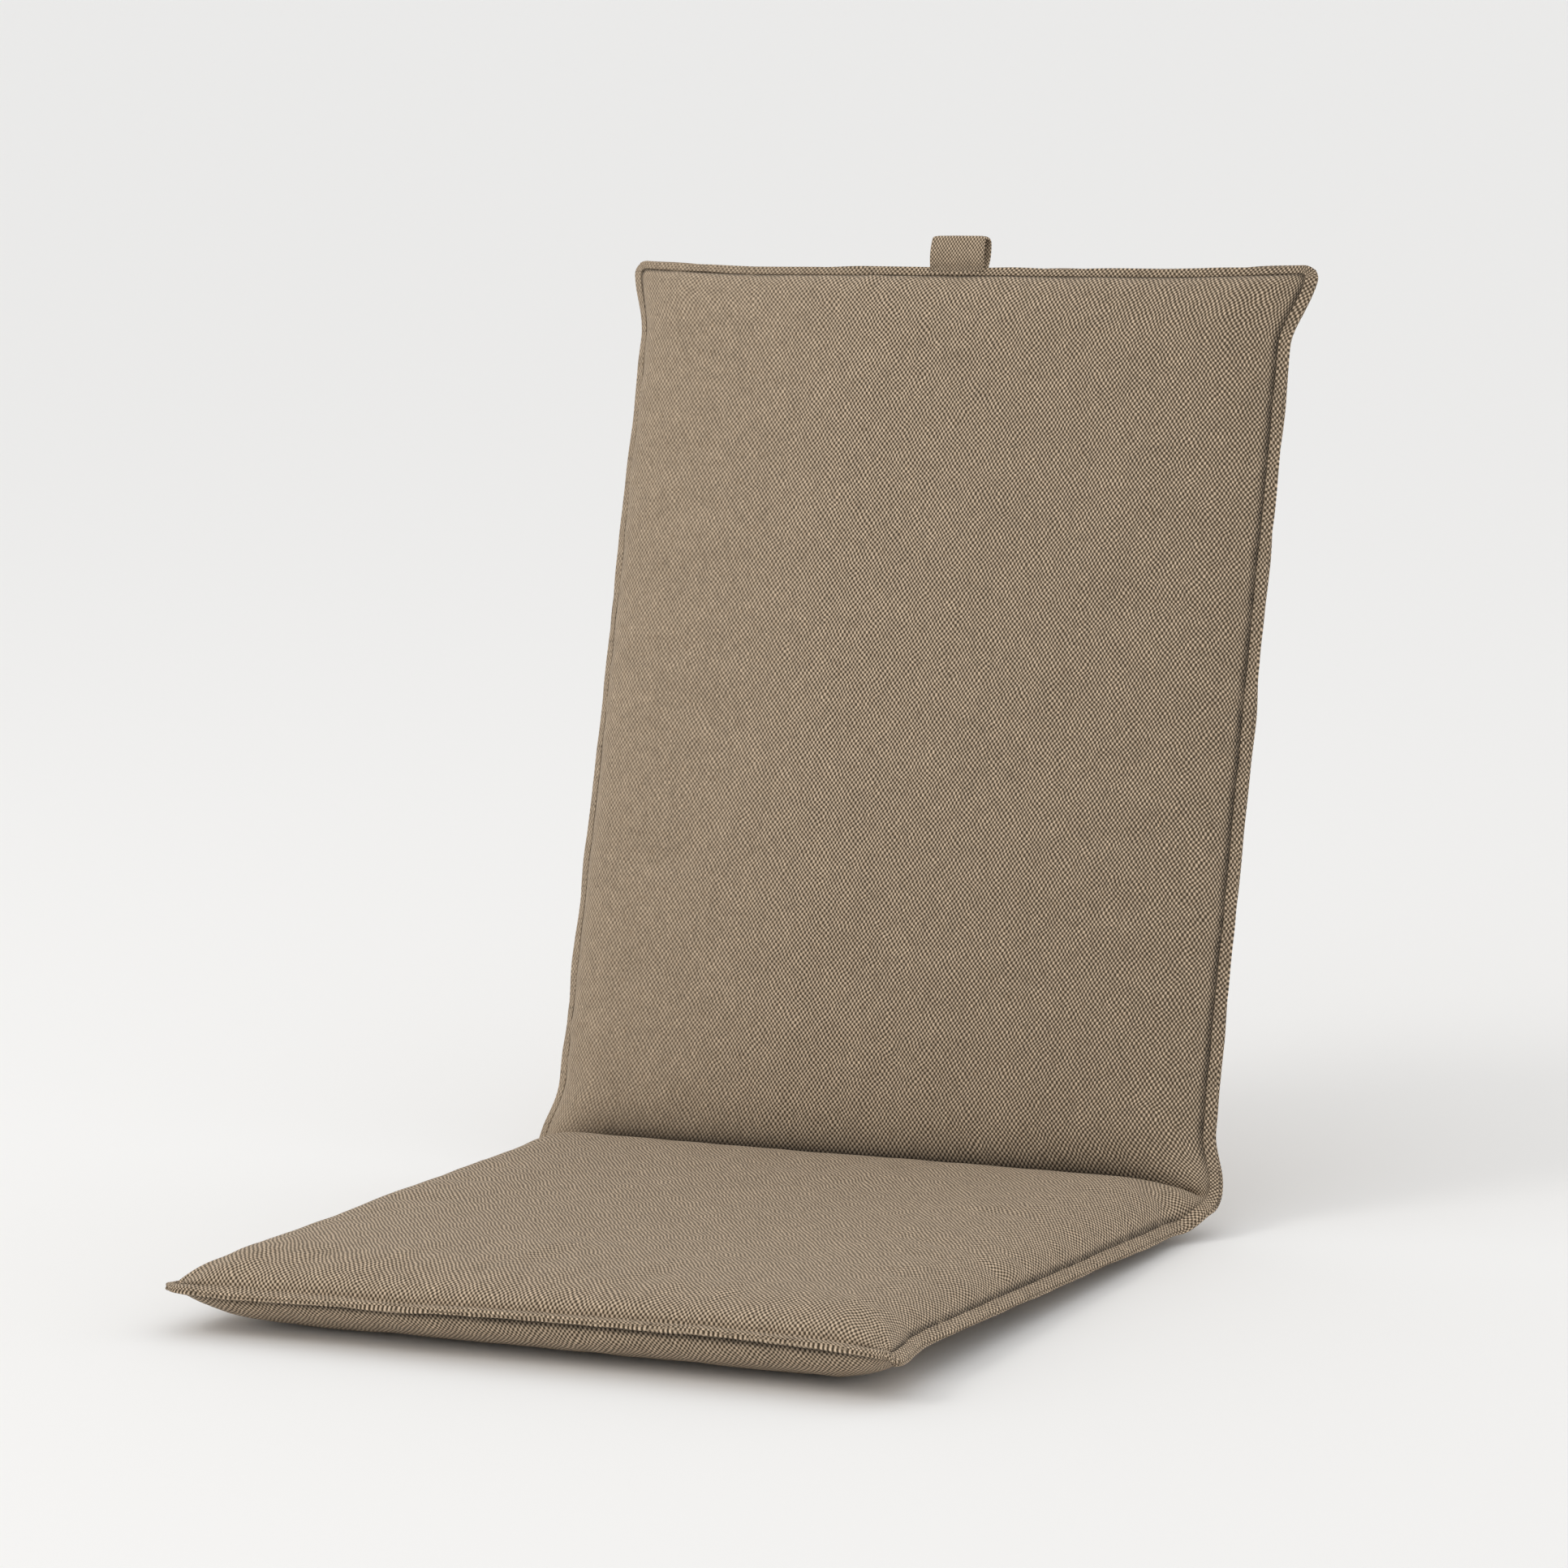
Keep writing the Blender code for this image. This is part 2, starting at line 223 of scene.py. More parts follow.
BEND = math.radians(90 - RECLINE_DEG)
BEND_START = SEAT_LENGTH - BEND * FOLD_RADIUS / 2
FOLD_SLOPE = FOLD_SLACK * math.tan((math.pi - BEND) / 2)
ORIGIN_Y = -SEAT_LENGTH / 2


def share_of(value):
    return np.clip(value, 0.0, 1.0)


def round_rise(distance, reach):
    """Rise steeply from 0 and level off at 1, like cloth over filling."""
    return np.sqrt(1 - (1 - share_of(distance / reach)) ** ROUNDNESS)


def soft_rise(distance, reach):
    """Rise from 0 to 1 with no corner at either end."""
    t = share_of(distance / reach)
    return t * t * (3 - 2 * t)


def fade(distance, spread):
    """Fall from 1 at distance 0 to 0 at the end of the spread."""
    return (1 - share_of(distance / spread)) ** 2


def bell(distance, spread):
    """Fall smoothly from 1 at distance 0 to 0 at the end of the spread."""
    return (1 - share_of(np.abs(distance) / spread) ** 2) ** 2


def mix(low, high, share):
    return low + (high - low) * share


def rounded_min(first, second, radius):
    """Return the smaller value, with the change from one to the other rounded off."""
    share = share_of(0.5 + 0.5 * (second - first) / radius)
    return mix(second, first, share) - radius * share * (1 - share)


def uneven(across, along, size, seed):
    """Smooth hand-made unevenness from -1 to 1 over the cloth, the same on every run."""
    rows = np.random.default_rng(seed).uniform(-1.0, 1.0, (UNEVEN_CELLS, UNEVEN_CELLS))
    x, y = np.broadcast_arrays(np.asarray(across) / size + 11.3, np.asarray(along) / size + 7.7)
    x_cell, y_cell = np.floor(x).astype(int), np.floor(y).astype(int)
    x_part, y_part = soft_rise(x - x_cell, 1.0), soft_rise(y - y_cell, 1.0)
    x_cell, x_next, y_cell, y_next = [
        cell % UNEVEN_CELLS for cell in (x_cell, x_cell + 1, y_cell, y_cell + 1)
    ]
    low = mix(rows[x_cell, y_cell], rows[x_next, y_cell], x_part)
    high = mix(rows[x_cell, y_next], rows[x_next, y_next], x_part)
    return mix(low, high, y_part)


def at_ears(along, size):
    """Add up one size of the ears at a distance along the cloth."""
    return sum(ear[size] * bell(along - ear["at"], ear["spread"]) for ear in EARS.values())


def left_tip(along, side):
    """How near a point is to the blunt front tip on the left."""
    return bell(along, LEFT_TIP["spread"]) * (np.asarray(side) < 0)


def front_lean(inset, side):
    """How far the rim of the front flange leans down at a place across the cushion."""
    places, leans = np.transpose(FRONT_LEAN)
    return np.interp(side * (HALF_SEAM - inset), places, leans)


def lean_back(inset, along, side, face):
    """How far the flange and the ears stand back from the middle of the seam."""
    at_side = FLANGE_LEAN["side"] * (1 - left_tip(along, side)) * share_of(1 - inset / FLANGE_WIDTH)
    at_top = FLANGE_LEAN["top"] * share_of(1 - (COVER_LENGTH - along) / FLANGE_WIDTH)
    at_front = front_lean(inset, side)
    bowed = bell(along, FRONT_BOW["upper" if face > 0 else "under"])
    at_front = np.where(at_front > 0, at_front * share_of(1 - along / FLANGE_WIDTH), at_front * bowed)
    return np.maximum(at_side, at_top) + at_front + at_ears(along, "curl") * bell(inset, EAR_DEPTH)


def front_groove_filled(inset, along):
    """How much of the groove on top of the front edge the rolled cloth fills."""
    between_tips = soft_rise(inset - FRONT_GROOVE["start"], FRONT_GROOVE["spread"])
    return FRONT_GROOVE["filled"] * between_tips * bell(along - FLANGE_WIDTH, FRONT_GROOVE["wide"])


def front_cloth_height(inset, along, flare, seam_z):
    """Height of the upper or front cloth over the middle of the seam."""
    to_fold = np.abs(along - SEAT_LENGTH)
    side = round_rise(inset - FLANGE_WIDTH, SIDE_RISE + EAR_SOFTNESS * flare) ** SIDE_FULLNESS
    on_seat = round_rise(along - FLANGE_WIDTH, SEAT_RISE["front"]) * round_rise(to_fold, SEAT_RISE["rear"])
    from_top = COVER_LENGTH - along - FLANGE_WIDTH
    on_back = round_rise(from_top, TOP_RISE) * round_rise(to_fold, BACK_FOOT_RISE)
    seat = along < SEAT_LENGTH
    crown = mix(CROWN_Z["front"], CROWN_Z["fold"], along / SEAT_LENGTH) - seam_z
    crown = np.where(seat, crown, BACK_HALF_DEPTH)
    start = mix(GROOVE_HALF, FLANGE_HALF, front_groove_filled(inset, along))
    height = mix(start, crown, side * np.where(seat, on_seat, on_back))
    at_fold = rounded_min(height, GROOVE_HALF + FOLD_SLOPE * to_fold, FOLD_SHOULDER)
    return np.maximum(GROOVE_HALF, at_fold)


def back_cloth_height(inset, along, flare, seam_z):
    """Depth of the cloth under the seat and behind the back, from the middle of the seam."""
    to_fold = np.abs(along - SEAT_LENGTH)
    from_groove, from_front = inset - FLANGE_WIDTH, along - FLANGE_WIDTH
    from_top = COVER_LENGTH - along - FLANGE_WIDTH
    at_tip = 1 - soft_rise(along - UNDER_TIP["start"], UNDER_TIP["end"] - UNDER_TIP["start"])
    at_side = soft_rise(from_groove, UNDER_RISE["side"])
    under = mix(at_side, round_rise(from_groove, UNDER_RISE["tip"]), at_tip)
    under = under * round_rise(from_front, UNDER_RISE["front"]) * round_rise(to_fold, UNDER_RISE["rear"])
    behind = round_rise(from_groove, SIDE_RISE + EAR_SOFTNESS * flare)
    behind = behind * round_rise(from_top, TOP_RISE) * round_rise(to_fold, BEHIND_FOOT_RISE)
    seat = along < SEAT_LENGTH
    return mix(GROOVE_HALF, np.where(seat, seam_z, BACK_HALF_DEPTH), np.where(seat, under, behind))


def seam_height(along):
    """Height of the middle of the seam over the floor, before the back's own rise."""
    return mix(SEAM_Z["fold"], SEAM_Z["front"], share_of(1 - along / SEAT_LENGTH))


def bend_up(along):
    """Follow the cushion's middle from the seat round the fold and up the back."""
    turn = np.clip((along - BEND_START) / FOLD_RADIUS, 0.0, BEND)
    past = np.maximum(along - BEND_START - BEND * FOLD_RADIUS, 0.0)
    y = np.minimum(along, BEND_START) - SEAT_LENGTH + FOLD_RADIUS * np.sin(turn) + past * math.cos(BEND)
    z = FOLD_RADIUS * (1 - np.cos(turn)) + past * math.sin(BEND)
    return y, z, turn


def round_corner(inset, from_end, radius):
    """Pull points near a square corner onto the rounded one."""
    across, along = radius - inset, radius - from_end
    inside = (across > 0) & (along > 0)
    shrink = np.maximum(across, along) / np.maximum(np.hypot(across, along), 1e-9)
    rounded = np.where(inside, radius - across * shrink, inset)
    return rounded, np.where(inside, radius - along * shrink, from_end)


def edge_steps():
    """The flange's cross-section from the rim seam to the groove, as insets and half thicknesses."""
    turns = np.radians(np.linspace(ROLL_START_DEG, 90, ROLL_POINTS))
    insets = list(ROLL_RADIUS * (1 - np.cos(turns)))
    halves = list(FLANGE_HALF - ROLL_RADIUS + ROLL_RADIUS * np.sin(turns))
    for inset in FLANGE_STEPS:
        dip = math.exp(-(((inset - FLANGE_WIDTH) / GROOVE_SPREAD) ** 2))
        insets.append(inset)
        halves.append(mix(FLANGE_HALF, GROOVE_HALF, dip))
    return insets, halves


def flange_share(halves, insets):
    """Share of the way over the flange's cloth from the groove, 0, out to the rim seam, 1."""
    steps = np.hypot(np.diff(insets), np.diff(halves))
    walked = np.concatenate(([0.0], np.cumsum(steps)))
    return 1 - walked / walked[-1]


def pad_steps(length, spacing):
    """Distances inside the groove, close together where the cloth rises and even further in."""
    near = [FLANGE_WIDTH + step for step in PAD_STEPS]
    count = max(round((length - near[-1]) / spacing), 1)
    return near + [mix(near[-1], length, (step + 1) / count) for step in range(count)]


def cloth_lines(spacing):
    """Insets across the left half, and distances along the whole cover, of the fine cloth's lines."""
    edge, halves = edge_steps()
    across = edge + pad_steps(HALF_SEAM, spacing)
    clear_of_fold = FOLD_STEPS[-1] + spacing
    seat = edge + pad_steps(SEAT_LENGTH - clear_of_fold, spacing)
    back = edge + pad_steps(COVER_LENGTH - SEAT_LENGTH - clear_of_fold, spacing)
    fold = [SEAT_LENGTH - step for step in reversed(FOLD_STEPS)] + [SEAT_LENGTH]
    fold += [SEAT_LENGTH + step for step in FOLD_STEPS]
    along = seat + fold + [COVER_LENGTH - step for step in reversed(back)]
    return np.array(across), np.array(along), np.array(halves)


def placed_cloth(inset, along, side, face, half=None, waver=0.0):
    """Place points of the cover; face is 1 on the front or upper cloth, and -1 on the other.

    half gives the thickness where the points are on the flange and is NaN elsewhere, and waver is how
    far the seam strays towards the middle.
    """
    flare = at_ears(along, "reach") - LEFT_TIP["shorter"] * left_tip(along, side)
    seam_z = seam_height(along)
    rise = front_cloth_height if face > 0 else back_cloth_height
    height = rise(inset, along, flare, seam_z)
    if half is not None:
        height = np.where(np.isnan(half), height, half)
    height = height - face * lean_back(inset, along, side, face)
    half_width = HALF_SEAM + flare
    tuck = np.where(np.asarray(side) < 0, FOLD_TUCK["left"], FOLD_TUCK["right"])
    tuck = tuck * bell(along - SEAT_LENGTH, FOLD_TUCK["spread"]) * bell(inset, FOLD_TUCK["depth"])
    spread = mix(FLANGE_WIDTH, half_width, (inset - FLANGE_WIDTH) / (HALF_SEAM - FLANGE_WIDTH))
    inset = np.where(inset > FLANGE_WIDTH, spread, inset) + waver

    placed = along
    for end, (from_end, way) in {"front": (along, 1), "top": (COVER_LENGTH - along, -1)}.items():
        sizes = DRAWN_IN[end]
        near = from_end < COVER_LENGTH / 2
        moved, moved_end = round_corner(inset, from_end, sizes["corner"])
        drawn = sizes["reach"] * (1 - fade(moved, sizes["spread"])) * share_of(1 - from_end / END_REACH)
        inset = np.where(near, moved, inset)
        placed = np.where(near, along + way * (moved_end - from_end + drawn), placed)

    y, z, turn = bend_up(placed)
    return np.stack((
        side * (half_width - inset),
        y - face * height * np.sin(turn) - tuck * math.sin(BEND / 2) - ORIGIN_Y,
        seam_z + z + face * height * np.cos(turn) + tuck * math.cos(BEND / 2),
    ), axis=-1)


def one_long(directions):
    """Bring directions to a length of 1."""
    return directions / np.maximum(np.linalg.norm(directions, axis=-1, keepdims=True), 1e-12)


def outward(points):
    """Directions square to a grid of cloth points; they point up from a cloth seen from above."""
    along = np.gradient(points, axis=0)
    across = np.gradient(points, axis=1)
    return one_long(np.cross(across, along))


def grid_mesh(name, layers):
    """One closed mesh from two layers of cloth points, joined all round their rim."""
    rows, columns = layers[0].shape[:2]
    numbers = np.arange(rows * columns).reshape(rows, columns)
    corners = numbers[:-1, :-1], numbers[:-1, 1:], numbers[1:, 1:], numbers[1:, :-1]
    quads = np.stack(corners, axis=-1).reshape(-1, 4)
    ring = np.concatenate((numbers[0, :-1], numbers[:-1, -1], numbers[-1, :0:-1], numbers[:0:-1, 0]))
    after = np.roll(ring, -1)
    under = rows * columns
    sides = np.stack((after, ring, ring + under, after + under), axis=-1)
    faces = np.concatenate((quads, quads[:, ::-1] + under, sides))
    points = np.concatenate([layer.reshape(-1, 3) for layer in layers])
    mesh = bpy.data.meshes.new(name)
    mesh.from_pydata(points.tolist(), [], faces.tolist())
    mesh.shade_smooth()
    return mesh


def link(name, data):
    piece = bpy.data.objects.new(name, data)
    bpy.context.scene.collection.objects.link(piece)
    return piece


def fill_by_simulation():
    """Blow the coarse cloth up over its filling, and return how far each point moved outward.

    The seam and the fold's crease are pinned, as they are sewn. What is returned is only the uneven
    part of the movement, because the pads' own depths are set by their sizes.
    """
    count_across = round((HALF_SEAM - FLANGE_WIDTH) / FILLING_SPACING)
    half_across = np.linspace(FLANGE_WIDTH, HALF_SEAM, count_across + 1)
    across = np.concatenate((half_across, 2 * HALF_SEAM - half_across[-2::-1]))
    seat = np.linspace(FLANGE_WIDTH, SEAT_LENGTH, round(SEAT_LENGTH / FILLING_SPACING))
    back_rows = round((COVER_LENGTH - SEAT_LENGTH) / FILLING_SPACING)
    back = np.linspace(SEAT_LENGTH, COVER_LENGTH - FLANGE_WIDTH, back_rows)
    along = np.concatenate((seat, back[1:]))

    inset = np.minimum(across, 2 * HALF_SEAM - across)[None, :]
    side = np.where(across < HALF_SEAM, -1, 1)[None, :]
    start = [placed_cloth(inset, along[:, None], side, face) for face in (1, -1)]
    middle = (start[0] + start[1]) / 2
    start = [middle + (layer - middle) * FILLING["full"] for layer in start]
    pad = link("filling", grid_mesh("filling", start))
    on_rim = np.zeros(start[0].shape[:2])
    on_rim[[0, -1], :] = 1
    on_rim[:, [0, -1]] = 1
    on_rim[len(seat) - 1, :] = 1
    held = np.flatnonzero(np.concatenate((on_rim.ravel(), on_rim.ravel())))
    pinned = pad.vertex_groups.new(name="sewn")
    pinned.add(held.tolist(), 1.0, "REPLACE")

    cloth = pad.modifiers.new("filled", "CLOTH")
    settings = cloth.settings
    settings.quality = 6
    settings.mass = 0.3
    settings.tension_stiffness = settings.compression_stiffness = 15
    settings.shear_stiffness = 6
    settings.bending_stiffness = 0.6
    settings.vertex_group_mass = "sewn"
    settings.use_pressure = True
    settings.uniform_pressure_force = FILLING["pressure"]
    settings.shrink_min = FILLING["slack"]
    settings.effector_weights.gravity = 0.0
    for frame_number in range(1, FILLING["frames"] + 1):
        bpy.context.scene.frame_set(frame_number)
    filled = pad.evaluated_get(bpy.context.evaluated_depsgraph_get()).to_mesh()
    reached = np.empty(len(filled.vertices) * 3)
    filled.vertices.foreach_get("co", reached)
    bpy.context.scene.frame_set(1)
    bpy.data.objects.remove(pad)
    reached = reached.reshape(2, len(along), len(across), 3)
    moved = np.stack([
        face * np.sum((reached[layer] - start[layer]) * outward(start[layer]), axis=-1)
        for layer, face in enumerate((1, -1))
    ])
    moved = np.clip(moved, -FILLING["cap"], FILLING["cap"])
    return along, across, np.stack([uneven_part(layer) for layer in moved])


def uneven_part(moved):
    """Leave out the broad swelling and keep the short rises and falls of the filled cloth."""
    broad = moved.copy()
    for _ in range(FILLING["smoothing"]):
        padded = np.pad(broad, 1, mode="edge")
        beside = padded[:-2, 1:-1] + padded[2:, 1:-1] + padded[1:-1, :-2] + padded[1:-1, 2:]
        broad = (beside + 4 * broad) / 8
    return FILLING["keep"] * np.tanh((moved - broad) / FILLING["keep"])


def read_between(along, across, values, at_along, at_across):
    """Read a coarse grid of values at the fine cloth's lines."""
    row = np.clip(np.searchsorted(along, at_along) - 1, 0, len(along) - 2)
    column = np.clip(np.searchsorted(across, at_across) - 1, 0, len(across) - 2)
    row_part = share_of((at_along - along[row]) / (along[row + 1] - along[row]))[:, None]
    column_part = share_of((at_across - across[column]) / (across[column + 1] - across[column]))[None, :]
    low = mix(values[np.ix_(row, column)], values[np.ix_(row, column + 1)], column_part)
    high = mix(values[np.ix_(row + 1, column)], values[np.ix_(row + 1, column + 1)], column_part)
    return mix(low, high, row_part)


def pucker(place, from_groove, sizes, seed):
    """Short folds that start at the stitched groove and die out on the pad."""
    ridge = uneven(place + sizes["slant"] * from_groove, from_groove * PUCKER["drift"], sizes["size"], seed)
    strong = uneven(place, 0.0, PUCKER["apart"] * sizes["size"], seed + 50)
    strong = share_of(PUCKER["least"] + PUCKER["more"] * strong)
    reached = bell(from_groove, sizes["reach"]) * soft_rise(from_groove, PUCKER["start"])
    return sizes["depth"] * ridge * strong * reached


def cover_grid():
    """The fine cloth's lines, and where their crossings lie from the rim, the ends and the fold."""
    left, along_lines, halves = cloth_lines(CLOTH_SPACING)
    insets = np.concatenate((left, left[-2::-1]))
    sides = np.concatenate((-np.ones(len(left)), np.ones(len(left) - 1)))
    steps_across = np.minimum(np.arange(len(insets)), np.arange(len(insets))[::-1])
    steps_along = np.minimum(np.arange(len(along_lines)), np.arange(len(along_lines))[::-1])
    step = np.minimum(steps_along[:, None], steps_across[None, :])
    flange_steps = np.append(flange_share(halves, left[:len(halves)]), 0.0)

    inset, side, along = insets[None, :], sides[None, :], along_lines[:, None]
    x, seat = side * (HALF_SEAM - inset), along < SEAT_LENGTH
    to_end = np.minimum(along, COVER_LENGTH - along)
    to_edge = np.minimum(inset, to_end)
    from_top = LOOP_BULGE["start"] + LOOP_BULGE["spread"] - (COVER_LENGTH - along)
    return SimpleNamespace(
        across_lines=np.where(sides < 0, insets, 2 * HALF_SEAM - insets), along_lines=along_lines,
        inset=inset, side=side, along=along, x=x, seat=seat, to_end=to_end, to_edge=to_edge,
        past_groove=to_edge - FLANGE_WIDTH,
        to_fold=np.abs(along - SEAT_LENGTH), from_groove=np.maximum(to_edge - FLANGE_WIDTH, 0.0),
        place=np.where(inset < to_end, along * side + 3 * side, x + np.where(seat, 0, 9)),
        half=np.where(step < len(halves), halves[np.minimum(step, len(halves) - 1)], np.nan),
        rolled_edge=step < ROLLED_STEPS, out_to_rim=flange_steps[np.minimum(step, len(halves))],
        by_loop=bell(x - STRAP_X, LOOP_BULGE["half"]) * soft_rise(from_top, LOOP_BULGE["spread"]),
    )


def flange_thickness(grid, bridged):
    """Half thickness of the flange, with its puffs, the bridges over its groove and the loop's bulge."""
    puff = 1 + FLANGE_PUFF["share"] * uneven(grid.place, 0.0, FLANGE_PUFF["size"], SEED["puff"])
    half = grid.half * np.where(grid.rolled_edge, 1.0, puff)
    on_rim = share_of((FLANGE_WIDTH - grid.to_edge) / LOOP_BULGE["rim"])
    half = half + LOOP_BULGE["reach"] * grid.by_loop * on_rim
    over_groove = bridged * bell(grid.past_groove, BRIDGES["wide"])
    return half + BRIDGES["rise"] * over_groove * ~grid.rolled_edge


def stray_edge(place, from_edge, seed):
    """How far the groove and the rim stray from straight lines."""
    groove = uneven(place, 0.0, SEAM_WAVER["size"], seed)
    groove = groove * bell(from_edge - FLANGE_WIDTH, SEAM_WAVER["spread"])
    rim = uneven(place, 2.0, RIM_WAVER["size"], seed + 2) * fade(from_edge, RIM_WAVER["spread"])
    return SEAM_WAVER["reach"] * groove + RIM_WAVER["reach"] * rim


def stray_ends(grid):
    """How far the front and top seams stray along the cloth, and how the loop pulls on the top one."""
    stray = stray_edge(grid.x + 5.0, grid.to_end, SEED["end seam"]) * soft_rise(grid.inset, WAVER_START)
    stray = stray * np.where(grid.along < COVER_LENGTH / 2, 1, -1)
    return stray - LOOP_BULGE["sag"] * grid.by_loop * bell(grid.past_groove, LOOP_BULGE["near"])


def corner_tucks(inset, along, seed):
    """Small folds that fan out over the pad from each ear."""
    out, tip = 0.0, CORNER_TUCKS["tip"]
    for number, from_end in enumerate((along, COVER_LENGTH - along)):
        reach = np.hypot(inset - tip, from_end - tip)
        angle = np.arctan2(np.maximum(inset - tip, 1e-6), np.maximum(from_end - tip, 1e-6))
        folds = uneven(angle * CORNER_TUCKS["count"] / 1.57, number * 3.0, 1.0, seed + number)
        spread = bell(reach - CORNER_TUCKS["start"], CORNER_TUCKS["reach"]) * (reach > tip)
        out = out + CORNER_TUCKS["depth"] * folds * spread
    return out


def fold_gathers(grid, seed):
    """Short gathers that run up both pads from the sewn fold."""
    across = grid.x + FOLD_GATHERS["slant"] * grid.to_fold
    gather = uneven(across, 0.0, FOLD_GATHERS["size"], seed) * bell(grid.to_fold, FOLD_GATHERS["reach"])
    gather = gather * soft_rise(grid.to_fold, FOLD_GATHERS["start"])
    return FOLD_GATHERS["depth"] * gather * soft_rise(grid.from_groove, FOLD_GATHERS["side"])


def dimples(grid, seed):
    """Broad shallow rises and hollows of the filled pads."""
    broad = uneven(grid.x, grid.along, DIMPLES["size"], seed)
    broad = broad + 0.5 * uneven(grid.x, grid.along, DIMPLES["size"] * DIMPLES["small"], seed + 1)
    from_fold = soft_rise(grid.to_fold, np.where(grid.seat, DIMPLES["seat"], DIMPLES["back"]))
    return DIMPLES["reach"] * broad * soft_rise(grid.from_groove, DIMPLES["side"]) * from_fold


def swelling(grid, filling, face):
    """The simulated filling's unevenness, calmed beside the groove and the fold and under the seat."""
    along, across, filled = filling
    swell = read_between(along, across, filled[0 if face > 0 else 1], grid.along_lines, grid.across_lines)
    from_fold = np.where(grid.seat, SWELLING["seat"], SWELLING["back"])
    swell = swell * soft_rise(grid.from_groove, SWELLING["side"])
    swell = swell * soft_rise(grid.to_fold - SWELLING["start"], from_fold)
    return swell * np.where(grid.seat & (face < 0), SWELLING["under"], 1.0)


def sewn_cloth(grid, face, half, filling):
    """Points of one of the cover's two cloths, with the face of the cushion that it makes."""
    seed = SEED["front cloth" if face > 0 else "back cloth"]
    if face > 0:
        filled = half + np.maximum(FLANGE_HALF - half, 0.0) * front_groove_filled(grid.inset, grid.along)
        half = np.where(grid.rolled_edge, half, filled)
    waver = stray_edge(grid.along * grid.side, grid.inset, SEED["side seam"])
    waver = waver * soft_rise(grid.to_end, WAVER_START)
    points = placed_cloth(grid.inset, grid.along, grid.side, face, half, waver)
    square = outward(points)
    points = points + one_long(np.gradient(points, axis=0)) * stray_ends(grid)[..., None]

    out = pucker(grid.place, grid.from_groove, PUCKERS, seed)
    out = out + pucker(grid.place, grid.from_groove, LONG_PUCKERS, seed + 1)
    out = out + fold_gathers(grid, seed + 2) + dimples(grid, seed + 3)
    out = out + corner_tucks(grid.inset, grid.along, seed + 5) + swelling(grid, filling, face)
    out = np.where(np.isnan(grid.half), out, 0.0)
    if face < 0:
        resting = share_of(1 - (points[..., 2] / RESTING_HEIGHT)) * grid.seat
        out = out * (1 - resting)
    lift = uneven(grid.place, 0.0, FLANGE_LIFT["size"], SEED["lift"])
    lift = lift * fade(grid.to_edge, FLANGE_LIFT["spread"])
    points = points + square * (face * out + FLANGE_LIFT["reach"] * lift)[..., None]
    points[..., 2] = np.maximum(points[..., 2], 0.0)
    return points


def seam_values(grid, bridged, under_z):
    """For both cloths: groove shade, the way out to the rim, and shade in the crease or under the rim."""
    inside = np.where(grid.seat, GROOVE_SPREADS["seat"], GROOVE_SPREADS["back"])
    spread = np.where(grid.to_edge < FLANGE_WIDTH, GROOVE_SPREADS["flange"], inside)
    groove = bell(grid.past_groove, spread) * (1 - GROOVE_PALER["bridged"] * bridged)
    groove = groove * (1 - GROOVE_PALER["fold"] * bell(grid.to_fold, GROOVE_PALER["reach"]))
    # Painted shade on the back's foot in the fold's crease
    on_foot = np.exp(-np.maximum(grid.to_fold - CREASE["start"], 0) / CREASE["reach"]) * ~grid.seat
    on_foot = on_foot * soft_rise(grid.inset - FLANGE_WIDTH, CREASE["ends"])
    # Painted shadow under the front flange on the under cloth, and painted shade in the crease of the fold
    # behind
    depth = seam_height(grid.along) - under_z - FLANGE_HALF - front_lean(grid.inset, grid.side)
    below = UNDER_SHADE["share"] * bell(np.maximum(depth - UNDER_SHADE["deep"], 0), UNDER_SHADE["reach"])
    below = below * (grid.to_edge > FLANGE_WIDTH) * (grid.along < SEAT_LENGTH / 2)
    behind = np.maximum(CREASE_BEHIND["share"] * bell(grid.to_fold, CREASE_BEHIND["reach"]), below)
    open_groove = groove * (1 - front_groove_filled(grid.inset, grid.along))
    layers = ((open_groove, grid.out_to_rim, on_foot), (groove, grid.out_to_rim, behind))
    return [stacked(*values) for values in layers]


def make_cover(material):
    """The sewn cover: a fine cloth with its flange, groove, puckers and the filling's unevenness."""
    grid = cover_grid()
    crossing = uneven(grid.place, 0.0, BRIDGES["size"], SEED["bridges"])
    bridged = share_of(BRIDGES["often"] * crossing - BRIDGES["least"])
    half = flange_thickness(grid, bridged)
    filling = fill_by_simulation()
    layers = [sewn_cloth(grid, face, half, filling) for face in (1, -1)]

    mesh = grid_mesh("cover", layers)
    add_values(mesh, "cloth", [cloth_places(points, grid.place) for points in layers])
    add_values(mesh, "seams", np.clip(seam_values(grid, bridged, layers[1][..., 2]), 0, 1))
    cover = link("cover", mesh)
    cover.data.materials.append(material)
    return cover


def cloth_places(points, place):
    """Distances across, along and round the seams of the cloth itself, so that the weave keeps its size."""
    rows, columns = points.shape[:2]
    across = np.linalg.norm(np.diff(points[int(rows * MEASURED_ROW)], axis=0), axis=-1)
    across = np.concatenate(([0.0], np.cumsum(across)))
    along = np.linalg.norm(np.diff(points[:, columns // 2], axis=0), axis=-1)
    along = np.concatenate(([0.0], np.cumsum(along)))
    return stacked((across - across[columns // 2])[None, :], along[:, None], place)


def stacked(*values):
    """Spread values over a common grid and put them together for each point."""
    return np.stack(np.broadcast_arrays(*values), axis=-1)


def add_values(mesh, name, values):
    attribute = mesh.attributes.new(name, "FLOAT_VECTOR", "POINT")
    attribute.data.foreach_set("vector", np.ascontiguousarray(values, dtype=np.float32).ravel())


